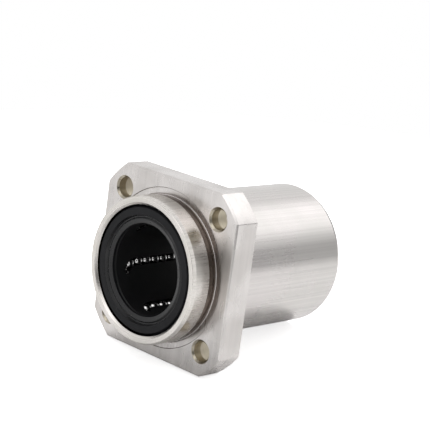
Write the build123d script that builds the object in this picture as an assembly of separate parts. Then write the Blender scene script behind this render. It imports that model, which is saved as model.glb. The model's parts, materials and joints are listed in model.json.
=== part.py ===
# Linear ball bushing for a 25 mm shaft, with a pilot and a square flange.
#
# The bore axis lies along Y and Z is up. The origin is where that axis meets the
# flange's mounting face. The pilot stands out towards -Y, the barrel towards +Y.
# Angles round the bore are measured from +X towards +Z.
import os
from math import acos, atan2, cos, degrees, hypot, pi, radians, sin

from build123d import *

# Shaft and balls
shaft_d = 25.0
ball_d = 3.175
shaft_gap = 0.01  # left between the shaft and each load ball
land_gap = 0.01  # left between a load ball and the sleeve's land

# Sleeve
sleeve_room = 7.5  # from the shaft's surface out to the sleeve's outside
sleeve_length = 59.0
pilot_length = 8.0
lead_depth = 0.4  # lead chamfer at both ends, across the radius
lead_length = 1.0  # the same chamfer, along the axis
seat_wall = 2.35  # left outside the counterbore that holds the seal
seat_chamfer = 0.6
neck_width = 2.2  # grinding groove at the root of the pilot
neck_depth = 0.4
neck_under_flange = 0.3  # how far that groove runs in under the flange

# Flange
flange_rim = 5.0  # from the sleeve's outside to the plate's flat sides
flange_thickness = 8.0
flange_edge = 0.45  # broken edge round both faces
flange_bore_edge = 0.25
relief_width = 1.8  # shallow recess round the pilot
relief_depth = 0.25
bolt_offset = 5.5  # from the sleeve's outside to the bolt circle
corner_offset = 5.5  # from the bolt circle to the turned corners
bolt_hole_d = 5.5
bolt_hole_edge = 0.45
counterbore_d = 9.0
counterbore_depth = 5.1

# Ball circuits
circuits = 6
first_row_deg = 9.0  # where the first load row lies
turn_balls = 3  # balls in each half-round turn
ball_gap = 0.024  # between neighbours in the rows and in the turns
track_gap = 0.1  # round a ball in the cage's track
groove_gap = 0.11  # over a return ball in the sleeve's groove
groove_side_gap = 0.35
relief_rise = 0.3  # the bore is opened by this much past both ends of the lands
land_overrun = 0.6  # how far a land runs on past the straight row
land_lead = 0.5  # length of the cone that leads the balls on to a land

# Cage
cage_gap = 0.145  # between the cage and the sleeve's lands
cage_shaft_gap = 0.3
cage_bore_edge = 0.35
cage_end_wall = 2.4  # least wall between a turn and the cage's end
guide_gap = 0.12  # between the cage's end guides and the sleeve's grooves
guide_length = 4.2
guide_root = 0.5  # how far a guide runs into the cage's wall

# Snap rings that hold the cage
ring_offset = 2.6  # from the sleeve's end to the ring's groove
ring_groove_width = 1.1
ring_groove_depth = 0.7
ring_gap = 0.05  # round the ring in its groove
ring_cage_gap = 0.25  # the ring's bore clears the cage's barrel by this much
ring_split = 5.0
ring_split_deg = 270.0
ring_corner = 0.6

# Seals
seal_shaft_gap = 0.05
seal_face = 0.6  # how far the flat face lies behind the sleeve's end
seal_slope = 2.35  # from the lip out to the flat face
seal_rim_gap = 0.3  # open between the face's edge and the seat
seal_rim_depth = 0.8
lip_start = 1.45  # from the sleeve's end to the lip's round wall
lip_length = 0.8
lip_back_step = 0.4

cut_margin = 1.0  # how far a cutting shape reaches past the wall it cuts

# Places along the axis
front_end = -pilot_length
rear_end = sleeve_length - pilot_length
middle = (front_end + rear_end) / 2

# Radii that follow from the fits
shaft_r = shaft_d / 2
ball_r = ball_d / 2
load_r = shaft_r + shaft_gap + ball_r
land_r = load_r + ball_r + land_gap
relief_r = land_r + relief_rise
track_r = ball_r + track_gap
cage_r = land_r - cage_gap
cage_bore_r = shaft_r + cage_shaft_gap
sleeve_r = shaft_r + sleeve_room
seat_r = sleeve_r - seat_wall
bolt_circle_r = sleeve_r + bolt_offset

# The racetrack that the ball centres follow. It is flat, and its plane touches the
# circle of load rows, so the balls rise off the shaft as they enter a turn. The
# straight rows hold as many balls as the sleeve's length leaves room for.
pitch = ball_d + ball_gap
turn_r = pitch / (2 * sin(pi / (2 * turn_balls)))
end_room = ring_offset + 2 * ring_gap + cage_end_wall + track_r + turn_r
straight_balls = int((sleeve_length - 2 * end_room) / pitch)
straight_length = straight_balls * pitch
return_r = hypot(load_r, 2 * turn_r)
return_deg = degrees(atan2(2 * turn_r, load_r))
groove_r = return_r + ball_r + groove_gap
circuit_plane = Plane(origin=(load_r, middle, turn_r), x_dir=(0, 1, 0), z_dir=(1, 0, 0))


def reach_deg(centre_r, wall_r):
    """Half the angle over which a ball at centre_r reaches past a round wall."""
    share = (centre_r**2 + wall_r**2 - ball_r**2) / (2 * centre_r * wall_r)
    return degrees(acos(min(share, 1)))


def groove_span():
    """The angles between which a return groove has to be open."""
    steps = 80
    starts = []
    for step in range(steps + 1):
        offset = 2 * turn_r * step / steps
        centre_r = hypot(load_r, offset)
        if centre_r + ball_r > relief_r:
            starts.append(degrees(atan2(offset, load_r)) - reach_deg(centre_r, relief_r))
    side = degrees(groove_side_gap / land_r)
    return min(starts) - side, return_deg + reach_deg(return_r, land_r) + side


def across_axis(y):
    """A drawing plane across the bore at y, which extrudes towards -Y."""
    return Plane(origin=(0, y, 0), x_dir=(1, 0, 0), z_dir=(0, -1, 0))


def disc(radius, start, end):
    """A solid round bar on the bore axis from y = start to y = end."""
    return extrude(across_axis(end) * Circle(radius), end - start)


def turned(points):
    """The solid turned from a closed outline of (radius, y) points."""
    return revolve(make_face(Polyline(*points, close=True)), Axis.Y)


def countersink(hole_r, start, edge):
    """The cone that breaks the edge of a hole whose mouth is at y = start."""
    return turned([(0, start), (hole_r + edge, start), (hole_r, start + edge), (0, start + edge)])


def sector(inner_r, outer_r, from_deg, to_deg):
    """A piece of a flat ring between two angles."""
    sweep_deg = to_deg - from_deg
    outer = CenterArc((0, 0), outer_r, from_deg, sweep_deg)
    inner = CenterArc((0, 0), inner_r, from_deg, sweep_deg)
    sides = Line(outer @ 0, inner @ 0) + Line(outer @ 1, inner @ 1)
    return make_face(outer + inner + sides)


def at_circuit(shape, number):
    """Turns a shape from the first position at 0 degrees to its own circuit."""
    angle = first_row_deg + number * 360 / circuits
    return Rot(0, -angle, 0) * shape


def mirrored(shape):
    """The same shape at the other end of the sleeve."""
    return mirror(shape, about=Plane(origin=(0, middle, 0), z_dir=(0, 1, 0)))


def make_sleeve():
    """Ground outer race: seal seats, ring grooves, and a return groove per circuit."""
    ring_groove_r = seat_r + ring_groove_depth
    neck_r = sleeve_r - neck_depth
    ring_end = ring_offset + ring_groove_width
    land_end = middle - straight_length / 2 - land_overrun
    front_bore = [
        (land_r, land_end),
        (relief_r, land_end - land_lead),
        (relief_r, front_end + ring_end),
        (ring_groove_r, front_end + ring_end),
        (ring_groove_r, front_end + ring_offset),
        (seat_r, front_end + ring_offset),
        (seat_r, front_end + seat_chamfer),
        (seat_r + seat_chamfer, front_end),
    ]
    rear_bore = [(r, 2 * middle - y) for r, y in reversed(front_bore)]
    outside = [
        (sleeve_r - lead_depth, front_end),
        (sleeve_r, front_end + lead_length),
        (sleeve_r, -neck_width),
        (neck_r, -neck_width),
        (neck_r, neck_under_flange),
        (sleeve_r, neck_under_flange),
        (sleeve_r, rear_end - lead_length),
        (sleeve_r - lead_depth, rear_end),
    ]
    sleeve = turned(outside + rear_bore + front_bore)
    groove_face = sector(land_r - cut_margin, groove_r, *groove_span())
    groove = extrude(
        across_axis(rear_end - ring_offset) * groove_face,
        sleeve_length - 2 * ring_offset,
    )
    for number in range(circuits):
        sleeve -= at_circuit(groove, number)
    return sleeve


def make_flange():
    """Square plate with turned corners, pressed on the sleeve behind the pilot."""
    width = 2 * (sleeve_r + flange_rim)
    outline = Rectangle(width, width) & Circle(bolt_circle_r + corner_offset)
    flange = extrude(across_axis(flange_thickness) * outline, flange_thickness)
    rims = ShapeList(flange.faces().sort_by(Axis.Y)[0].outer_wire().edges())
    rims += flange.faces().sort_by(Axis.Y)[-1].outer_wire().edges()
    flange = chamfer(rims, flange_edge)
    flange -= disc(sleeve_r, 0, flange_thickness)
    flange -= disc(sleeve_r + relief_width, 0, relief_depth)
    flange -= countersink(sleeve_r, relief_depth, flange_bore_edge)
    hole_r = bolt_hole_d / 2
    hole = disc(hole_r, 0, flange_thickness)
    hole += disc(counterbore_d / 2, flange_thickness - counterbore_depth, flange_thickness)
    hole += countersink(hole_r, 0, bolt_hole_edge)
    reach = bolt_circle_r * cos(radians(45))
    for x in (-reach, reach):
        for z in (-reach, reach):
            flange -= Pos(x, 0, z) * hole
    return flange


def make_track():
    """The space of one closed ball track: half-round floor, open on the outside."""
    track = Part()
    for side in (-1, 1):
        track += Pos(0, side * turn_r, 0) * Rot(0, 90, 0) * Cylinder(track_r, straight_length)
    for end in (-1, 1):
        bend = Rot(0, 0, end * -90) * Torus(turn_r, track_r, major_angle=180, align=None)
        track += Pos(end * straight_length / 2, 0, 0) * bend
    loop = SlotCenterToCenter(straight_length, 2 * (turn_r + track_r))
    loop -= SlotCenterToCenter(straight_length, 2 * (turn_r - track_r))
    track += extrude(loop, groove_r - load_r)
    return circuit_plane * track


def make_cage():
    """Moulded cage: six closed tracks, and end guides that sit in the sleeve's grooves."""
    start = front_end + ring_offset + 2 * ring_gap
    shoulder = front_end + ring_offset + ring_groove_width + ring_gap
    end = 2 * middle - start
    cage = disc(cage_r, start, end)
    from_deg, to_deg = groove_span()
    side = degrees(guide_gap / land_r)
    guide_face = sector(cage_r - guide_root, groove_r - guide_gap, from_deg + side, to_deg - side)
    guide = extrude(across_axis(shoulder + guide_length) * guide_face, guide_length)
    for number in range(circuits):
        cage += at_circuit(guide, number)
        cage += at_circuit(mirrored(guide), number)
    cage -= disc(cage_bore_r, start, end)
    flare = countersink(cage_bore_r, start, cage_bore_edge)
    cage -= flare
    cage -= mirrored(flare)
    track = make_track()
    for number in range(circuits):
        cage -= at_circuit(track, number)
    return cage


def make_ring():
    """Flat snap ring, split at the bottom, in the groove at the front end."""
    outer_r = seat_r + ring_groove_depth - ring_gap
    half = degrees(ring_split / 2 / outer_r)
    ends_deg = (ring_split_deg + half, ring_split_deg + 360 - half)
    face = sector(cage_r + ring_cage_gap, outer_r, *ends_deg)
    face = fillet(face.vertices(), ring_corner)
    thickness = ring_groove_width - 2 * ring_gap
    return extrude(across_axis(front_end + ring_offset + ring_gap + thickness) * face, thickness)


def make_seal():
    """Rubber end seal: a flat face, then a rounded slope in to the wiping lip."""
    lip_r = shaft_r + seal_shaft_gap
    face_r = lip_r + seal_slope
    face_y = front_end + seal_face
    lip_y = front_end + lip_start
    back_y = front_end + ring_offset
    slope = TangentArc((face_r, face_y), (lip_r, lip_y), tangent=(-1, 0))
    rest = Polyline(
        (lip_r, lip_y),
        (lip_r, lip_y + lip_length),
        (lip_r + lip_back_step, back_y),
        (seat_r, back_y),
        (seat_r, face_y + seal_rim_depth),
        (seat_r - seal_rim_gap, face_y),
        (face_r, face_y),
    )
    return revolve(make_face(slope + rest), Axis.Y)


def straight_row(side):
    """Balls along the load row (side -1) or the return row (side 1) of one circuit."""
    first = (pitch - straight_length) / 2
    spots = [(first + index * pitch, side * turn_r, 0) for index in range(straight_balls)]
    return [circuit_plane * Pos(*spot) * Sphere(ball_r) for spot in spots]


def turn_row(end):
    """Balls in the front turn (end -1) or the rear turn (end 1) of one circuit."""
    balls = []
    for index in range(turn_balls):
        angle = pi * (index + 0.5) / turn_balls
        x = end * (straight_length / 2 + turn_r * sin(angle))
        balls.append(circuit_plane * Pos(x, -turn_r * cos(angle), 0) * Sphere(ball_r))
    return balls


def make_balls():
    """Every group of balls, by name: the four stretches of each circuit."""
    stretches = {
        "load_balls": straight_row(-1),
        "return_balls": straight_row(1),
        "front_turn_balls": turn_row(-1),
        "rear_turn_balls": turn_row(1),
    }
    groups = {}
    for name, balls in stretches.items():
        for number in range(circuits):
            placed = [at_circuit(ball, number) for ball in balls]
            groups[f"{name}_{number + 1}"] = Compound(placed)
    return groups


front_ring = make_ring()
front_seal = make_seal()
nodes = {
    "outer_sleeve": make_sleeve(),
    "flange": make_flange(),
    "ball_cage": make_cage(),
    "front_snap_ring": front_ring,
    "rear_snap_ring": mirrored(front_ring),
    "front_seal": front_seal,
    "rear_seal": mirrored(front_seal),
}
nodes.update(make_balls())

os.makedirs("parts", exist_ok=True)
for name, shape in nodes.items():
    export_step(shape, f"parts/{name}.step")
print(f"{len(nodes)} nodes, pitch {pitch:.3f}, turn radius {turn_r:.3f}")
print(f"return row at {return_deg:.3f} degrees, radius {return_r:.3f}, groove {groove_r:.3f}")
print("grooves from {:.2f} to {:.2f} degrees".format(*groove_span()))
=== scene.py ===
import json
from math import cos, radians, sin

import bpy
import numpy as np
from mathutils import Matrix, Vector
from mathutils.geometry import tessellate_polygon


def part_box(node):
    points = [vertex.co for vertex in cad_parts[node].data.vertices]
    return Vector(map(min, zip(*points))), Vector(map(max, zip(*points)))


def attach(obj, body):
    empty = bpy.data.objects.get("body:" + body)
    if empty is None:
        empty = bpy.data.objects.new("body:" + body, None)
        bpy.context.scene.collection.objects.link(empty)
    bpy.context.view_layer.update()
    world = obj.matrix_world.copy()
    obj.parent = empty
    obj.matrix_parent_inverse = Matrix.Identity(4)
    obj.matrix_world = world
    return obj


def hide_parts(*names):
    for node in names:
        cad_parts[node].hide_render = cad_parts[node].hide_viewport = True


# Finish and studio of a linear ball bushing. Everything is in metres in the part's own frame: the bore
# runs along Y, the flange's mounting face is at y = 0 and the pilot stands out towards -Y.
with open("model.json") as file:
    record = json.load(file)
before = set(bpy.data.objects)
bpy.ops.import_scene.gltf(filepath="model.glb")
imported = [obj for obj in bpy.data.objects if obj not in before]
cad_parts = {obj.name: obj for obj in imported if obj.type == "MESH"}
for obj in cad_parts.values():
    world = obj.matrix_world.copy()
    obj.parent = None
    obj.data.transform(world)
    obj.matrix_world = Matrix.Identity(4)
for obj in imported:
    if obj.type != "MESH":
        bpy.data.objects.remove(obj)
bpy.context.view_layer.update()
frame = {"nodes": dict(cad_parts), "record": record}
mounts = {m["name"]: m for m in frame["record"]["mounts"]}
mm = 0.001

# Sizes that the pieces share, in millimetres, read from the frame.
sleeveLow, sleeveHigh = (np.array(corner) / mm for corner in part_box("outer_sleeve"))
flangeHigh = np.array(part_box("flange")[1]) / mm
sealHigh = np.array(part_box("front_seal")[1]) / mm
ringLow, ringHigh = (np.array(corner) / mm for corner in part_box("front_snap_ring"))
sleeveR = sleeveHigh[0]
frontEnd, rearEnd = sleeveLow[1], sleeveHigh[1]
middleY = (frontEnd + rearEnd) / 2
seatR = sealHigh[0]
cornerSteps = 4  # chords in each rounded corner of a metal piece
cornerPoints = cornerSteps + 1
mergesPerMm = 4e4  # points closer than one such part of a millimetre are one point
print("frame loaded,", len(frame["nodes"]), "nodes")


def leftOf(angle):
    # unit vector a quarter turn to the left of a heading: (-sin, cos)
    return np.stack([-np.sin(angle), np.cos(angle)], -1)


def roundedOutline(corners, steps=cornerSteps, closed=True):
    # corners are (radius, place, rounding): each corner becomes an arc that leaves both sides smoothly,
    # cut back by rounding * tan(turn / 2); the material lies to the left of the outline
    rows = np.array(corners, float)
    spots, rounding = rows[:, :2], rows[:, 2]
    before = spots - np.roll(spots, 1, 0)
    after = np.roll(spots, -1, 0) - spots
    if not closed:
        before[0], after[-1] = after[0], before[-1]
    heading = np.arctan2(before[:, 1], before[:, 0])
    turn = (np.arctan2(after[:, 1], after[:, 0]) - heading + np.pi) % (2 * np.pi) - np.pi
    cut = rounding * np.tan(np.abs(turn) / 2)
    along = np.stack([np.cos(heading), np.sin(heading)], -1)
    swing = (np.sign(turn) * rounding)[:, None]
    centre = spots - along * cut[:, None] + swing * leftOf(heading)
    share = np.linspace(0, 1, steps + 1)
    angle = heading[:, None] + turn[:, None] * share
    points = centre[:, None] - swing[:, None] * leftOf(angle)
    outward = -leftOf(angle)
    # how far a point is into its corner: 0 at both ends of the arc, 1 in its middle
    edge = np.broadcast_to(np.sin(np.pi * share), angle.shape)
    if not closed:
        keep = np.ones(angle.shape, bool)
        keep[0, 1:] = keep[-1, 1:] = False
        points[-1, 0] = spots[-1]
        return points[keep], outward[keep], edge[keep]
    return points.reshape(-1, 2), outward.reshape(-1, 2), edge.reshape(-1)


def gridFaces(rows, columns, closedRows, closedColumns):
    # quads between neighbouring rows and columns of a grid of points, numbered row * columns + column
    r = np.arange(rows if closedRows else rows - 1)[:, None]
    c = np.arange(columns if closedColumns else columns - 1)[None]
    nextRow, nextColumn = (r + 1) % rows, (c + 1) % columns
    corners = (r * columns + c, nextRow * columns + c, nextRow * columns + nextColumn, r * columns + nextColumn)
    return np.stack(np.broadcast_arrays(*corners), -1).reshape(-1, 4)


def evenAngles(count):
    # a full turn in even steps: 2 pi k / count
    return np.linspace(0, 2 * np.pi, count, endpoint=False)


def turnedSurface(outline, angles, closed=True, centre=(0, 0), radius=None):
    # (radius, place) carried round the Y axis: x = r cos a, y = place, z = r sin a
    points, outward, edge = outline
    r = points[:, :1] if radius is None else radius
    around, up = np.cos(angles), np.sin(angles)
    spot = np.stack(np.broadcast_arrays(centre[0] + r * around, points[:, 1:], centre[1] + r * up), -1)
    normal = np.stack(np.broadcast_arrays(outward[:, :1] * around, outward[:, 1:], outward[:, :1] * up), -1)
    quads = gridFaces(len(points), len(angles), closed, True)
    return spot.reshape(-1, 3), normal.reshape(-1, 3), np.repeat(edge, len(angles)), quads


def carriedSurface(outline, path, pathOutward):
    # (inset, place) carried along a closed path in the XZ plane: each point is the path's own point less
    # inset times the path's normal, at y = place
    points, outward, edge = outline
    flat = path[None] - points[:, :1, None] * pathOutward[None]
    place = np.broadcast_to(points[:, 1:, None], flat[..., :1].shape)
    spot = np.concatenate([flat[..., :1], place, flat[..., 1:]], -1)
    side = -outward[:, :1, None] * pathOutward[None]
    lean = np.broadcast_to(outward[:, 1:, None], side[..., :1].shape)
    normal = np.concatenate([side[..., :1], lean, side[..., 1:]], -1)
    quads = gridFaces(len(points), len(path), False, True)
    return spot.reshape(-1, 3), normal.reshape(-1, 3), np.repeat(edge, len(path)), quads


def flatSurface(loops, place, facing):
    # a flat face at y = place between an outer loop and the loops of its holes; a triangle's turn is
    # the cross product of two of its sides, and one that faces the wrong way is turned over
    spot = np.concatenate(loops)
    triangles = np.array(tessellate_polygon([[Vector((x, z, 0)) for x, z in loop] for loop in loops]))
    a, b, c = (spot[triangles[:, k]] for k in range(3))
    turn = (b - a)[:, 0] * (c - a)[:, 1] - (b - a)[:, 1] * (c - a)[:, 0]
    turnsBack = turn * facing > 0  # a turn from X to Z faces -Y
    triangles[turnsBack] = triangles[turnsBack][:, ::-1]
    normal = np.broadcast_to([0, facing, 0], (len(spot), 3))
    return np.insert(spot, 1, place, 1), normal, np.zeros(len(spot)), triangles


def finishedRows(surface, slots):
    # splits a surface by finish: slots holds the material slot of each row of quads
    rows = surface[3].reshape(len(slots), -1, 4)
    return [(*surface[:3], rows[slots == index].reshape(-1, 4), index) for index in np.unique(slots)]


def makePiece(name, surfaces, materials, body="root", replaces=()):
    # joins surfaces, merges the points that they share and keeps each point's worked-out normal
    spots = np.concatenate([s[0] for s in surfaces]) * mm
    normals = np.concatenate([s[1] for s in surfaces])
    edges = np.concatenate([s[2] for s in surfaces])
    steps = np.round(spots / mm * mergesPerMm).astype(np.int64)
    _, first, where = np.unique(steps, axis=0, return_index=True, return_inverse=True)
    where = where.reshape(-1)
    start = np.cumsum([0] + [len(s[0]) for s in surfaces])
    faces, slots = [], []
    for surface, offset in zip(surfaces, start):
        faces += where[surface[3] + offset].tolist()
        slots += [surface[4] if len(surface) > 4 else 0] * len(surface[3])
    mesh = bpy.data.meshes.new(name)
    mesh.from_pydata(spots[first].tolist(), [], faces)
    mesh.polygons.foreach_set("use_smooth", np.ones(len(faces), bool))
    mesh.polygons.foreach_set("material_index", np.array(slots, np.int32))
    mesh.normals_split_custom_set_from_vertices(normals[first].tolist())
    mesh.attributes.new("edge", "FLOAT", "POINT").data.foreach_set("value", edges[first].astype(np.float32))
    for material in materials:
        mesh.materials.append(material)
    piece = bpy.data.objects.new(name, mesh)
    bpy.context.scene.collection.objects.link(piece)
    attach(piece, body)
    if replaces:
        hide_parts(*replaces)
    print("made", name, len(mesh.vertices), "points")
    return piece


def newNode(tree, kind, inputs=None, **settings):
    # a shader node; each input is a value, or the socket that feeds it
    node = tree.nodes.new(kind)
    for key, value in settings.items():
        setattr(node, key, value)
    for key, value in (inputs or {}).items():
        if isinstance(value, bpy.types.NodeSocket):
            tree.links.new(value, node.inputs[key])
        else:
            node.inputs[key].default_value = value
    return node


def mathNode(tree, operation, *values, clamp=False):
    # one sum: the values in order, joined by the operation, held between 0 and 1 if clamped
    return newNode(tree, "ShaderNodeMath", dict(enumerate(values)), operation=operation, use_clamp=clamp).outputs[0]


def mapRange(tree, value, low, high, newLow, newHigh, smooth=False):
    # low becomes newLow and high becomes newHigh, in a straight line or easing in and out
    kind = "SMOOTHSTEP" if smooth else "LINEAR"
    inputs = {0: value, 1: low, 2: high, 3: newLow, 4: newHigh}
    return newNode(tree, "ShaderNodeMapRange", inputs, interpolation_type=kind).outputs[0]


def mixColor(tree, factor, a, b):
    # a * (1 - factor) + b * factor, for colours
    return newNode(tree, "ShaderNodeMix", {0: factor, 6: a, 7: b}, data_type="RGBA").outputs[2]


def mixFloat(tree, factor, a, b):
    # a * (1 - factor) + b * factor, for single values
    return newNode(tree, "ShaderNodeMix", {0: factor, 2: a, 3: b}, data_type="FLOAT").outputs[0]


def vectorNode(tree, operation, inputs):
    # the vector that an operation on vectors gives
    return newNode(tree, "ShaderNodeVectorMath", inputs, operation=operation).outputs[0]


def noiseNode(tree, place, scale, detail, **more):
    # noise between 0 and 1 at a place, with scale waves to each unit of length
    inputs = {"Vector": place, "Scale": scale, "Detail": detail, **more}
    return newNode(tree, "ShaderNodeTexNoise", inputs).outputs[0]


def newGroup(name, inputs, outputs):
    # an empty node group; inputs are (name, kind, default) and kind is Float, Color or Vector
    group = bpy.data.node_groups.new(name, "ShaderNodeTree")
    for label, kind, default in inputs:
        socket = group.interface.new_socket(label, in_out="INPUT", socket_type=f"NodeSocket{kind}")
        if default is not None:
            socket.default_value = default
    for label, kind in outputs:
        group.interface.new_socket(label, in_out="OUTPUT", socket_type=f"NodeSocket{kind}")
    return group, group.nodes.new("NodeGroupInput").outputs, group.nodes.new("NodeGroupOutput").inputs


# Tool marks: the ranges of noise that count, and what a rounded edge adds to brightness and roughness.
metalMarks = dict(fineDetail=3.0, fineRoughness=0.6, broadDetail=2.0, toneRange=(0.25, 0.75), patchRange=(0.3, 0.7),
                  edgeShine=0.12, edgeWear=-0.08, toneShare=0.5)


def streakGroup(s):
    # colour = patch colour * (1 + streak * tone + edge shine * edge)
    # roughness = base + spread * (patch + tone share * tone) + edge wear * edge
    group, given, result = newGroup(
        "toolMarks",
        [("Marks", "Vector", None), ("Place", "Vector", None), ("Color", "Color", (0.6, 0.6, 0.6, 1)),
         ("Tint", "Color", (0.6, 0.6, 0.6, 1)), ("Streak", "Float", 0.1), ("Patch Scale", "Float", 60.0),
         ("Roughness", "Float", 0.3), ("Roughness Spread", "Float", 0.1), ("Edge", "Float", 0.0)],
        [("Color", "Color"), ("Roughness", "Float"), ("Height", "Float")],
    )
    fine = noiseNode(group, given["Marks"], 1.0, s["fineDetail"], Roughness=s["fineRoughness"])
    broad = noiseNode(group, given["Place"], given["Patch Scale"], s["broadDetail"])
    tone = mapRange(group, fine, *s["toneRange"], -1.0, 1.0)
    patch = mapRange(group, broad, *s["patchRange"], 0.0, 1.0, smooth=True)
    tinted = mixColor(group, patch, given["Color"], given["Tint"])
    gain = mathNode(group, "MULTIPLY_ADD", tone, given["Streak"], 1.0)
    gain = mathNode(group, "MULTIPLY_ADD", given["Edge"], s["edgeShine"], gain)
    group.links.new(vectorNode(group, "SCALE", {0: tinted, "Scale": gain}), result["Color"])
    spread = mathNode(group, "MULTIPLY_ADD", patch, given["Roughness Spread"], given["Roughness"])
    toneSpread = mathNode(group, "MULTIPLY", given["Roughness Spread"], s["toneShare"])
    spread = mathNode(group, "MULTIPLY_ADD", tone, toneSpread, spread)
    worn = mathNode(group, "MULTIPLY_ADD", given["Edge"], s["edgeWear"], spread, clamp=True)
    group.links.new(worn, result["Roughness"])
    group.links.new(fine, result["Height"])
    return group


# Moulded grain: the ranges of noise that count, and how much more dust a pimple holds.
mouldMarks = dict(fineDetail=2.0, broadDetail=3.0, patchRange=(0.35, 0.7), speckRange=(0.4, 0.75), speckDust=0.4)


def grainGroup(s):
    # dust share = dust amount * (patch + speck dust * speck); colour goes from bare to dusty by that share
    # roughness = base + spread * patch
    group, given, result = newGroup(
        "mouldedGrain",
        [("Place", "Vector", None), ("Color", "Color", (0.03, 0.03, 0.03, 1)),
         ("Dust", "Color", (0.06, 0.06, 0.06, 1)), ("Grain Scale", "Float", 4000.0),
         ("Patch Scale", "Float", 120.0), ("Dust Amount", "Float", 0.5), ("Roughness", "Float", 0.5),
         ("Roughness Spread", "Float", 0.1)],
        [("Color", "Color"), ("Roughness", "Float"), ("Height", "Float")],
    )
    fine = noiseNode(group, given["Place"], given["Grain Scale"], s["fineDetail"])
    broad = noiseNode(group, given["Place"], given["Patch Scale"], s["broadDetail"])
    patch = mapRange(group, broad, *s["patchRange"], 0.0, 1.0, smooth=True)
    speck = mapRange(group, fine, *s["speckRange"], 0.0, 1.0)
    dusty = mathNode(group, "MULTIPLY_ADD", speck, s["speckDust"], patch)
    amount = mathNode(group, "MULTIPLY", given["Dust Amount"], dusty, clamp=True)
    group.links.new(mixColor(group, amount, given["Color"], given["Dust"]), result["Color"])
    worn = mathNode(group, "MULTIPLY_ADD", patch, given["Roughness Spread"], given["Roughness"], clamp=True)
    group.links.new(worn, result["Roughness"])
    group.links.new(fine, result["Height"])
    return group


toolMarks = streakGroup(metalMarks)
mouldedGrain = grainGroup(mouldMarks)


def startMaterial(name):
    # a new material, its node tree, its shader and the place in metres of the point that is shaded
    material = bpy.data.materials.new(name)
    material.use_nodes = True
    tree = material.node_tree
    place = newNode(tree, "ShaderNodeTexCoord").outputs["Object"]
    return material, tree, tree.nodes["Principled BSDF"], place


def finishShader(tree, shader, effect, look):
    # the effect's colour and roughness feed the shader, and its height times the bump's depth tips the normal
    tree.links.new(effect.outputs["Color"], shader.inputs["Base Color"])
    tree.links.new(effect.outputs["Roughness"], shader.inputs["Roughness"])
    bump = newNode(tree, "ShaderNodeBump", {
        "Height": effect.outputs["Height"], "Distance": look["bump"], "Strength": look["bumpStrength"]})
    tree.links.new(bump.outputs["Normal"], shader.inputs["Normal"])


def turnedMarks(tree, place, wallScale, faceScale):
    # walls are marked by angle and depth, flat rings by angle and radius: each is the heading round the
    # bore times the barrel's radius times the first scale, with the depth or radius times the second
    ringShare = (0.4, 0.6)  # a normal's share along Y: a wall below the first, a flat ring above the second
    flat = vectorNode(tree, "MULTIPLY", {0: place, 1: (1, 0, 1)})
    radius = newNode(tree, "ShaderNodeVectorMath", {0: flat}, operation="LENGTH").outputs["Value"]
    around = newNode(tree, "ShaderNodeSeparateXYZ", {0: vectorNode(tree, "NORMALIZE", {0: flat})}).outputs
    depth = newNode(tree, "ShaderNodeSeparateXYZ", {0: place}).outputs["Y"]
    kinds = []
    for along, (aroundScale, alongScale) in ((depth, wallScale), (radius, faceScale)):
        reach = sleeveR * mm * aroundScale
        kinds.append(newNode(tree, "ShaderNodeCombineXYZ", {
            "X": mathNode(tree, "MULTIPLY", around["X"], reach),
            "Y": mathNode(tree, "MULTIPLY", along, alongScale),
            "Z": mathNode(tree, "MULTIPLY", around["Z"], reach)}).outputs[0])
    normal = newNode(tree, "ShaderNodeTexCoord").outputs["Normal"]
    share = mathNode(tree, "ABSOLUTE", newNode(tree, "ShaderNodeSeparateXYZ", {0: normal}).outputs["Y"])
    facing = mapRange(tree, share, *ringShare, 0.0, 1.0)
    return newNode(tree, "ShaderNodeMix", {0: facing, 4: kinds[0], 5: kinds[1]}, data_type="VECTOR").outputs[1]


def steelMaterial(name, look):
    # metal with tool marks: a small number along an axis draws the marks out along it
    material, tree, shader, place = startMaterial(name)
    if "faceMarks" in look:
        marks = turnedMarks(tree, place, look["marks"], look["faceMarks"])
    else:
        marks = newNode(tree, "ShaderNodeMapping", {
            "Vector": place, "Scale": look["marks"], "Rotation": look.get("turn", (0, 0, 0))}).outputs[0]
    edge = newNode(tree, "ShaderNodeAttribute", attribute_name="edge")
    effect = newNode(tree, "ShaderNodeGroup", {
        "Marks": marks, "Place": place, "Color": (*look["color"], 1), "Tint": (*look["tint"], 1),
        "Streak": look["streak"], "Patch Scale": look["patchScale"], "Roughness": look["roughness"],
        "Roughness Spread": look["spread"], "Edge": edge.outputs["Fac"]}, node_tree=toolMarks)
    shader.inputs["Metallic"].default_value = 1.0
    shader.inputs["Anisotropic"].default_value = look.get("anisotropic", 0.0)
    if "anisotropic" in look:
        tangent = newNode(tree, "ShaderNodeTangent", direction_type="RADIAL", axis="Y")
        tree.links.new(tangent.outputs[0], shader.inputs["Tangent"])
    finishShader(tree, shader, effect, look)
    return material


def mouldedMaterial(name, look):
    # rubber or resin: the moulded grain's colour, roughness and height on a plain dielectric shader
    material, tree, shader, place = startMaterial(name)
    effect = newNode(tree, "ShaderNodeGroup", {
        "Place": place, "Color": (*look["color"], 1), "Dust": (*look["dust"], 1), "Grain Scale": look["grainScale"],
        "Patch Scale": look["patchScale"], "Dust Amount": look["dustAmount"], "Roughness": look["roughness"],
        "Roughness Spread": look["spread"]}, node_tree=mouldedGrain)
    shader.inputs["Specular IOR Level"].default_value = look["specular"]
    finishShader(tree, shader, effect, look)
    return material


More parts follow.
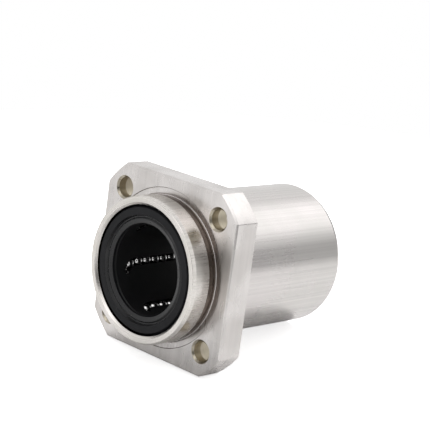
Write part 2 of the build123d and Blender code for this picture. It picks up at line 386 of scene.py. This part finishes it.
# Looks: colours are linear; marks and scales are waves to the metre; bump is the marks' depth in metres.
steelLooks = {
    "groundSleeve": dict(
        color=(0.67, 0.635, 0.625), tint=(0.64, 0.62, 0.60), marks=(1500, 4), faceMarks=(30, 3500),
        streak=0.1, patchScale=70, roughness=0.25, spread=0.05, bump=5e-7, bumpStrength=0.1, anisotropic=0.3),
    # the pilot is the same ground steel as the barrel, painted lighter as painted light on the pilot
    "groundPilot": dict(
        color=(0.73, 0.695, 0.67), tint=(0.68, 0.655, 0.61), marks=(1700, 12), faceMarks=(30, 3500),
        streak=0.14, patchScale=110, roughness=0.25, spread=0.06, bump=5e-7, bumpStrength=0.1, anisotropic=0.6),
    # the neck groove's turned steel, browner than the ground steel and darkened further with painted shade for the
    # groove's hollow
    "turnedNeck": dict(
        color=(0.2, 0.163, 0.14), tint=(0.15, 0.122, 0.104), marks=(300, 2500), faceMarks=(60, 2500),
        streak=0.2, patchScale=150, roughness=0.22, spread=0.08, bump=3e-6, bumpStrength=0.3),
    # the seat's wall inside each chamfer is painted near black: painted shade of the recess round the seal
    "seatWall": dict(
        color=(0.05, 0.038, 0.03), tint=(0.035, 0.026, 0.02), marks=(300, 2500), faceMarks=(60, 2500),
        streak=0.2, patchScale=150, roughness=0.4, spread=0.08, bump=3e-6, bumpStrength=0.3),
    "groundFlange": dict(
        color=(0.73, 0.70, 0.685), tint=(0.59, 0.563, 0.545), marks=(500, 500, 14), turn=(0, 0.5, 0),
        streak=0.08, patchScale=75, roughness=0.24, spread=0.07, bump=1e-6, bumpStrength=0.2),
    "counterbore": dict(
        color=(0.60, 0.55, 0.44), tint=(0.52, 0.47, 0.37), marks=(300, 3000, 300),
        streak=0.14, patchScale=160, roughness=0.38, spread=0.12, bump=5e-6, bumpStrength=0.4),
    # the darker steel of the holes' front edge breaks; on the flange's recess wall the same steel is painted shade
    "edgeBreak": dict(
        color=(0.47, 0.43, 0.35), tint=(0.38, 0.345, 0.28), marks=(900, 900, 900),
        streak=0.1, patchScale=200, roughness=0.24, spread=0.08, bump=1e-6, bumpStrength=0.1),
    "drilledHole": dict(
        color=(0.36, 0.305, 0.21), tint=(0.28, 0.235, 0.16), marks=(300, 3000, 300),
        streak=0.14, patchScale=160, roughness=0.38, spread=0.12, bump=5e-6, bumpStrength=0.4),
    "springSteel": dict(
        color=(0.30, 0.30, 0.31), tint=(0.24, 0.24, 0.26), marks=(600, 600, 600),
        streak=0.08, patchScale=120, roughness=0.4, spread=0.1, bump=3e-6, bumpStrength=0.3),
    "polishedBall": dict(
        color=(0.62, 0.615, 0.61), tint=(0.58, 0.575, 0.57), marks=(900, 900, 900),
        streak=0.02, patchScale=300, roughness=0.05, spread=0.03, bump=5e-7, bumpStrength=0.1),
}
mouldedLooks = {
    "sealRubber": dict(
        color=(0.008, 0.0082, 0.0095), dust=(0.018, 0.0185, 0.021), grainScale=5200.0, patchScale=130.0,
        dustAmount=0.5, roughness=0.38, spread=0.1, specular=0.15, bump=1.2e-5, bumpStrength=0.35),
    # glossier rubber of the lip, bead and groove, painted darker as shade so that the groove looks black
    "lipRubber": dict(
        color=(0.004, 0.004, 0.0048), dust=(0.010, 0.0103, 0.012), grainScale=5200.0, patchScale=160.0,
        dustAmount=0.4, roughness=0.22, spread=0.1, specular=0.45, bump=4e-6, bumpStrength=0.2),
    "cageResin": dict(
        color=(0.008, 0.008, 0.009), dust=(0.014, 0.014, 0.015), grainScale=3600.0, patchScale=140.0,
        dustAmount=0.3, roughness=0.45, spread=0.12, specular=0.3, bump=8e-6, bumpStrength=0.3),
}
steels = {name: steelMaterial(name, look) for name, look in steelLooks.items()}
moulded = {name: mouldedMaterial(name, look) for name, look in mouldedLooks.items()}
print("materials ready")

# Sleeve: the same walls as its solid, with every edge rounded by a hair. Its lands and grooves keep the
# solid's sizes, in millimetres and degrees.
sleeve = dict(
    segments=240, leadDepth=0.4, leadLength=1.0, seatChamfer=0.6, neckWidth=2.2, neckDepth=0.4, neckUnder=0.3,
    ringGrooveDepth=0.7, ringPlay=0.05, reliefR=15.995, landR=15.695, landLead=0.5, landEnd=1.706, grooveR=17.179,
    grooveDeg=(10.02, 31.47), grooveNudge=1e-4, circuits=6, edgeRounding=0.07, softRounding=0.25,
    insideRounding=0.03, shoulderRounding=0.18,
)


def makeSleeve(s):
    # one closed outline turned round the bore, r and y at each angle; between a groove's two angles every
    # part of the bore's wall that is narrower lies at the groove's radius instead
    hair, soft, inner = s["edgeRounding"], s["softRounding"], s["insideRounding"]
    neckR = sleeveR - s["neckDepth"]
    grooveEnd, grooveStart = ringHigh[1] + s["ringPlay"], ringLow[1] - s["ringPlay"]
    ringR = seatR + s["ringGrooveDepth"]
    outside = [
        (sleeveR - s["leadDepth"], frontEnd, soft),
        (sleeveR, frontEnd + s["leadLength"], soft),
        (sleeveR, -s["neckWidth"], hair),
        (neckR, -s["neckWidth"], inner),
        (neckR, s["neckUnder"], inner),
        (sleeveR, s["neckUnder"], s["shoulderRounding"]),
        (sleeveR, rearEnd - s["leadLength"], soft),
        (sleeveR - s["leadDepth"], rearEnd, soft),
    ]
    frontBore = [
        (s["landR"], s["landEnd"], inner),
        (s["reliefR"], s["landEnd"] - s["landLead"], inner),
        (s["reliefR"], grooveEnd, inner),
        (ringR, grooveEnd, inner),
        (ringR, grooveStart, inner),
        (seatR, grooveStart, inner),
        (seatR, frontEnd + s["seatChamfer"], hair),
        (seatR + s["seatChamfer"], frontEnd, hair),
    ]
    rearBore = [(r, 2 * middleY - y, rounding) for r, y, rounding in reversed(frontBore)]
    outline = roundedOutline(outside + rearBore + frontBore)
    points = outline[0]

    # a groove's side is two columns close together, one at each radius
    columns = [evenAngles(s["segments"])]
    starts = np.arange(s["circuits"]) * 2 * np.pi / s["circuits"]
    for side in np.radians(s["grooveDeg"]):
        columns += [starts + side - s["grooveNudge"], starts + side + s["grooveNudge"]]
    angles = np.unique(np.concatenate(columns) % (2 * np.pi))
    phase = angles % (2 * np.pi / s["circuits"])
    inGroove = (phase > radians(s["grooveDeg"][0])) & (phase < radians(s["grooveDeg"][1]))
    boreStart, boreEnd = grooveStart - inner, 2 * middleY - grooveStart + inner
    onBore = (points[:, 0] < s["grooveR"]) & (points[:, 1] > boreStart) & (points[:, 1] < boreEnd)
    radius = np.where(onBore[:, None] & inGroove[None], s["grooveR"], points[:, :1])

    # finishes by row of quads: barrel, pilot (painted lighter), neck (turned steel with painted shade), and at each
    # end the seat's wall inside its chamfer, painted near black as shade
    slots = np.where(points[:, 1] < 0, 1, 0)
    neck = 3 * cornerPoints
    slots[neck:neck + 2 * cornerPoints - 1] = 2
    rearSeat = (len(outside) + 1) * cornerPoints
    slots[rearSeat + cornerSteps // 2:rearSeat + cornerPoints] = 3
    frontSeat = len(points) - 2 * cornerPoints
    slots[frontSeat - 1:frontSeat + cornerSteps // 2] = 3
    finishNames = ("groundSleeve", "groundPilot", "turnedNeck", "seatWall")
    return makePiece("sleeveBody", finishedRows(turnedSurface(outline, angles, radius=radius), slots),
                     [steels[name] for name in finishNames], replaces=["outer_sleeve"])


makeSleeve(sleeve)

# Flange: a plate whose rim and holes are profiles carried along paths, closed by flat faces.
flange = dict(
    cornerR=31.0, cornerRounding=0.52, edge=0.45, edgeRounding=0.1, flatRun=0.06, reliefR=21.8, reliefDepth=0.25,
    boreEdge=0.25, holeR=mounts["flange_bolts"]["dims"]["hole_r_mm"],
    circleR=mounts["flange_bolts"]["dims"]["pcd_mm"] / 2, holeEdge=0.52, counterboreR=4.5, counterboreDepth=5.1,
    holeSegments=72, boreSegments=252, joinSteps=6, arcSteps=14,
)


def flangePath(f):
    # a square whose four corners are turned to one circle, with each join rounded; the join's arc touches
    # the flat side and the corner circle from inside, so cos(join) = (half width - rounding) / (corner
    # radius - rounding)
    rounding = f["cornerRounding"]
    inner = f["cornerR"] - rounding
    join = np.arccos((flangeHigh[0] - rounding) / inner)
    last = np.pi / 2 - join
    arcs = [
        (np.linspace(0, join, f["joinSteps"]), inner * np.array([np.cos(join), np.sin(join)]), rounding),
        (np.linspace(join, last, f["arcSteps"])[1:-1], np.zeros(2), f["cornerR"]),
        (last + np.linspace(0, np.pi / 2 - last, f["joinSteps"]),
         inner * np.array([np.cos(last), np.sin(last)]), rounding),
    ]
    path, pathOutward = [], []
    for turn in np.arange(4) * np.pi / 2:
        spin = np.array([[np.cos(turn), np.sin(turn)], [-np.sin(turn), np.cos(turn)]])
        for heading, centre, radius in arcs:
            outward = np.stack([np.cos(heading), np.sin(heading)], -1)
            path.append((centre + radius * outward) @ spin)
            pathOutward.append(outward @ spin)
    return np.concatenate(path), np.concatenate(pathOutward)


def ringOf(radius, segments, centre=(0, 0)):
    # a circle's points: centre + radius * (cos, sin)
    angles = evenAngles(segments)
    return np.stack([centre[0] + radius * np.cos(angles), centre[1] + radius * np.sin(angles)], -1)


def makeFlange(f):
    # outlines are (distance, y) pairs: from the rim inward, from each hole's axis or from the bore's axis;
    # each ends in a short flat run, where the front or rear face takes over
    hair, run, edge = f["edgeRounding"], f["flatRun"], f["edge"]
    thick = flangeHigh[1]
    path, pathOutward = flangePath(f)
    # the rim runs from the front face out over its broken edges to the rear face
    points, outward, edges = roundedOutline(
        [(edge + run, 0, 0), (edge, 0, hair), (0, edge, hair), (0, thick - edge, hair), (edge, thick, hair),
         (edge + run, thick, 0)],
        closed=False)
    rim = carriedSurface((points, -outward, edges), path, pathOutward)
    outer = rim[0][:len(path), ::2]
    surfaces = [rim]
    frontLoops, backLoops = [outer], [outer]

    # each hole's wall runs from the counterbore's rear edge to the edge break at the front
    floor = thick - f["counterboreDepth"]
    wideR, holeR, breakR = f["counterboreR"], f["holeR"], f["holeR"] + f["holeEdge"]
    holeOutline = roundedOutline(
        [(wideR + run, thick, 0), (wideR, thick, hair), (wideR, floor, hair), (holeR, floor, hair),
         (holeR, f["holeEdge"], hair), (breakR, 0, hair), (breakR + run, 0, 0)],
        closed=False)
    holeSlots = np.repeat((0, 2, 1, 3), (cornerPoints, cornerPoints, 2 * cornerPoints, cornerPoints + 1))
    reach = f["circleR"] * cos(radians(45))
    for x in (-reach, reach):
        for z in (-reach, reach):
            wall = turnedSurface(holeOutline, evenAngles(f["holeSegments"]), closed=False, centre=(x, z))
            surfaces += finishedRows(wall, holeSlots)
            frontLoops.append(ringOf(breakR + run, f["holeSegments"], (x, z)))
            backLoops.append(ringOf(wideR + run, f["holeSegments"], (x, z)))

    # the bore's wall, its edge and the shallow recess round it; the recess's wall, with half of the corner at its
    # foot and all of the corner at its brim, takes the darker edge-break steel as painted shade that hides the
    # brim's highlight
    depth, reliefR = f["reliefDepth"], f["reliefR"]
    boreOutline = roundedOutline(
        [(sleeveR + run, thick, 0), (sleeveR, thick, hair), (sleeveR, depth + f["boreEdge"], hair),
         (sleeveR + f["boreEdge"], depth, hair), (reliefR, depth, hair), (reliefR, 0, hair), (reliefR + run, 0, 0)],
        closed=False)
    halfCorner = cornerSteps // 2 + 1
    boreSlots = np.repeat((0, 3, 0), (3 * cornerPoints + halfCorner, 2 * cornerPoints - halfCorner, 1))
    bore = turnedSurface(boreOutline, evenAngles(f["boreSegments"]), closed=False)
    surfaces += finishedRows(bore, boreSlots)
    frontLoops.append(ringOf(reliefR + run, f["boreSegments"]))
    backLoops.append(ringOf(sleeveR + run, f["boreSegments"]))
    surfaces += [flatSurface(frontLoops, 0, -1), flatSurface(backLoops, thick, 1)]
    finishNames = ("groundFlange", "drilledHole", "counterbore", "edgeBreak")
    return makePiece("flangePlate", surfaces, [steels[name] for name in finishNames],
                     replaces=["flange"])


makeFlange(flange)

# Seals: a flat moulded face with a groove and a raised bead, then a rounded slope in to the wiping lip.
seal = dict(segments=240, face=0.6, slope=2.35, rimGap=0.8, rimDepth=1.3, lipStart=1.45, lipLength=0.8, lipBack=0.4,
            rounding=0.12, grooveInset=0.5, grooveDepth=0.95, grooveRounding=0.25, beadInset=1.15, beadDepth=0.5,
            beadRounding=0.4, arcSteps=6, lipCorners=3)


def makeSeal(s, name, node, mirrored):
    # one closed outline turned round the bore; the rear seal's y is twice the sleeve's middle less the front's
    lipR = mounts["shaft_bore"]["dims"]["r_mm"]
    faceR = lipR + s["slope"]
    faceY, lipY, backY = frontEnd + s["face"], frontEnd + s["lipStart"], sealHigh[1]
    rounding = s["rounding"]
    # lip, raised bead, groove, face, the gap round the rim, and back to the lip behind
    corners = [
        (lipR, lipY, s["beadRounding"] / 2),
        (faceR - s["beadInset"], faceY + s["beadDepth"], s["beadRounding"]),
        (faceR - s["grooveInset"], faceY + s["grooveDepth"], s["grooveRounding"]),
        (faceR, faceY, rounding),
        (seatR - s["rimGap"], faceY, rounding),
        (seatR, faceY + s["rimDepth"], rounding),
        (seatR, backY, rounding),
        (lipR + s["lipBack"], backY, rounding),
        (lipR, lipY + s["lipLength"], rounding),
    ]
    outline = roundedOutline(corners, s["arcSteps"])
    spots, normals, edges, quads = turnedSurface(outline, evenAngles(s["segments"]))
    if mirrored:
        flip = np.array([1, -1, 1])
        spots, normals, quads = spots * flip + [0, 2 * middleY, 0], normals * flip, quads[:, ::-1]
    # the lip, the bead and the groove take the darker lip rubber, painted shade in the groove; the rest is the
    # plain seal rubber
    lipRows = s["lipCorners"] * (s["arcSteps"] + 1)
    slots = np.repeat((1, 0), (lipRows, len(outline[0]) - lipRows))
    return makePiece(name, finishedRows((spots, normals, edges, quads), slots),
                     [moulded["sealRubber"], moulded["lipRubber"]], replaces=[node])


makeSeal(seal, "frontSealRing", "front_seal", False)
makeSeal(seal, "rearSealRing", "rear_seal", True)

# The cage, the snap rings and the balls keep their own solids and get a finish.
finishes = {"ball_cage": moulded["cageResin"], "snap_ring": steels["springSteel"], "balls": steels["polishedBall"]}
for nodeName, nodeObject in frame["nodes"].items():
    for part, material in finishes.items():
        if part in nodeName:
            for materialSlot in nodeObject.material_slots:
                materialSlot.material = material
print("solids dressed")

# Studio: the floor touches the flange's lower rear edge and the barrel's rear rim, as the part would rest on
# it. The feet are (y, z) in millimetres, the floor's radius and centre are in metres.
studio = dict(
    floorRadius=0.24, floorCentre=(-0.03, 0.03), flangeFoot=(7.55, -25.0), barrelFoot=(50.0, -20.0),
    rings=24, spokes=96, innerShare=0.002, ringPower=1.5, floorColor=(0.9, 0.9, 0.9), mottleGain=1.02,
    mottleScale=30.0, mottleDetail=2.0, floorGlow=0.03, floorWhite=0.7, skyLevel=0.6, whiteLevel=0.93,
)


def viewRays(tree):
    # 1 for a camera ray, and 1 for a ray that the camera sees straight, mirrored or through glass
    path = newNode(tree, "ShaderNodeLightPath").outputs
    bent = mathNode(tree, "MAXIMUM", path["Is Glossy Ray"], path["Is Transmission Ray"])
    return path["Is Camera Ray"], mathNode(tree, "MAXIMUM", path["Is Camera Ray"], bent)


def makeFloor(s):
    # rings round the part, level across and rising along Y: radius = floor radius * share to the ring power,
    # z = first foot's z + rise * (y - first foot's y)
    (y0, z0), (y1, z1) = s["flangeFoot"], s["barrelFoot"]
    rise = (z1 - z0) / (y1 - y0)
    rings = np.linspace(s["innerShare"], 1, s["rings"])[:, None] ** s["ringPower"] * s["floorRadius"]
    angles = evenAngles(s["spokes"])
    x, y = rings * np.cos(angles) + s["floorCentre"][0], rings * np.sin(angles) + s["floorCentre"][1]
    z = (z0 - rise * y0) * mm + rise * y
    mesh = bpy.data.meshes.new("studioFloor")
    faces = gridFaces(*x.shape, False, True).tolist() + [list(range(len(angles)))]
    mesh.from_pydata(np.stack([x, y, z], -1).reshape(-1, 3).tolist(), [], faces)

    material = bpy.data.materials.new("paleFloor")
    material.use_nodes = True
    tree = material.node_tree
    tree.nodes.clear()
    place = newNode(tree, "ShaderNodeTexCoord").outputs["Object"]
    mottle = noiseNode(tree, place, s["mottleScale"], s["mottleDetail"])
    paler = [min(c * s["mottleGain"], 1) for c in s["floorColor"]]
    color = mixColor(tree, mottle, (*s["floorColor"], 1), (*paler, 1))
    matte = newNode(tree, "ShaderNodeBsdfDiffuse", {"Color": color}).outputs[0]
    # what the camera sees straight or mirrored also glows, so that the floor looks white
    isCamera, isSeen = viewRays(tree)
    power = mixFloat(tree, isCamera, s["floorGlow"], s["floorWhite"])
    glow = newNode(tree, "ShaderNodeEmission", {"Strength": power}).outputs[0]
    lit = newNode(tree, "ShaderNodeAddShader", {0: matte, 1: glow}).outputs[0]
    shade = newNode(tree, "ShaderNodeMixShader", {0: isSeen, 1: matte, 2: lit}).outputs[0]
    # seen from below the floor is clear, so that a low view still shows the part
    under = newNode(tree, "ShaderNodeNewGeometry").outputs["Backfacing"]
    clear = newNode(tree, "ShaderNodeBsdfTransparent").outputs[0]
    hidden = mathNode(tree, "MULTIPLY", under, isCamera)
    last = newNode(tree, "ShaderNodeMixShader", {0: hidden, 1: shade, 2: clear})
    newNode(tree, "ShaderNodeOutputMaterial", {"Surface": last.outputs[0]})
    mesh.materials.append(material)
    floor = bpy.data.objects.new("studioFloor", mesh)
    bpy.context.scene.collection.objects.link(floor)
    return floor


makeFloor(studio)

# Room light: each card is (direction from the part, degrees off it where the card is still full, degrees
# where it ends, amount added to the room's level); a card below 0 is a dark one.
roomCards = {
    "rearSoftbox": ((0.14, 0.75, 0.64), 10, 23, 0.62),
    "darkBand": ((0.637, 0.759, 0.14), 8, 20, -0.48),
    "frontSoftbox": ((0.06, -0.70, 0.70), 13, 25, 0.7),
    "darkFront": ((0.645, -0.717, 0.265), 11, 17, -0.93),
    "darkFrontLow": ((0.77, -0.60, -0.2), 6, 13, -0.8),
    "dimUpperFront": ((-0.45, -0.71, 0.55), 8, 18, -0.5),
    "darkBehind": ((0.0, 1.0, 0.0), 18, 30, -0.6),
}


def makeWorld(s, cards):
    # strength = room level + the sum of the cards, each fading in smoothly with the cosine of the angle
    # between the ray and the card's direction
    world = bpy.data.worlds.new("studioRoom")
    bpy.context.scene.world = world
    world.use_nodes = True
    tree = world.node_tree
    tree.nodes.clear()
    heading = newNode(tree, "ShaderNodeTexCoord").outputs["Generated"]
    isCamera, isSeen = viewRays(tree)
    level = mixFloat(tree, isSeen, s["skyLevel"], s["whiteLevel"])
    total = 0.0
    for direction, full, none, amount in cards.values():
        dot = newNode(tree, "ShaderNodeVectorMath", {0: heading, 1: Vector(direction).normalized()},
                      operation="DOT_PRODUCT").outputs["Value"]
        card = mapRange(tree, dot, cos(radians(none)), cos(radians(full)), 0.0, amount, smooth=True)
        total = mathNode(tree, "ADD", total, card)
    # the camera itself sees plain white
    strength = mixFloat(tree, isCamera, mathNode(tree, "ADD", total, level), 1.0)
    room = newNode(tree, "ShaderNodeBackground", {"Color": (1, 1, 1, 1), "Strength": strength})
    newNode(tree, "ShaderNodeOutputWorld", {"Surface": room.outputs[0]})


makeWorld(studio, roomCards)

# Overhead lamp behind the part: it lights the matte things and gives the floor its shadow.
overhead = dict(direction=(-0.08, 0.55, 0.83), power=2.05, width=24)


def makeLamp(s):
    # a sun whose back points along the direction from the part to the lamp, width degrees across
    lamp = bpy.data.lights.new("overheadLamp", "SUN")
    lamp.energy, lamp.angle = s["power"], radians(s["width"])
    stand = bpy.data.objects.new("overheadLamp", lamp)
    stand.rotation_euler = Vector(s["direction"]).to_track_quat("Z", "Y").to_euler()
    stand.visible_glossy = False
    bpy.context.scene.collection.objects.link(stand)


makeLamp(overhead)

# Camera: its direction from the part and its roll in degrees, its distance and the shift of its axis in
# the part's millimetres, and the lens and sensor in the camera's own; near and far are in metres.
shot = dict(azimuth=42.69, elevation=12.75, roll=7.72, distance=400.6, aside=14.29, above=14.20, lens=124.62,
            sensor=36.0, near=0.01, far=20.0)


def makeCamera(c):
    # back points from the part to the camera: (sin a cos e, -cos a cos e, sin e); the roll turns the level
    # and upright axes about it, and the camera stands at back * distance + right * aside + up * above
    azimuth, elevation, roll = (radians(c[key]) for key in ("azimuth", "elevation", "roll"))
    back = Vector((sin(azimuth) * cos(elevation), -cos(azimuth) * cos(elevation), sin(elevation)))
    level = Vector((0, 0, 1)).cross(back).normalized()
    upright = back.cross(level)
    right = cos(roll) * level + sin(roll) * upright
    up = cos(roll) * upright - sin(roll) * level
    data = bpy.data.cameras.new("photoCamera")
    data.sensor_width, data.lens = c["sensor"], c["lens"]
    data.clip_start, data.clip_end = c["near"], c["far"]
    camera = bpy.data.objects.new("photoCamera", data)
    bpy.context.scene.collection.objects.link(camera)
    turn = Matrix((right, up, back)).transposed().to_4x4()
    turn.translation = (back * c["distance"] + right * c["aside"] + up * c["above"]) * mm
    camera.matrix_world = turn
    bpy.context.scene.camera = camera


makeCamera(shot)
bpy.context.scene.view_settings.view_transform = "Standard"
print("studio and camera ready")
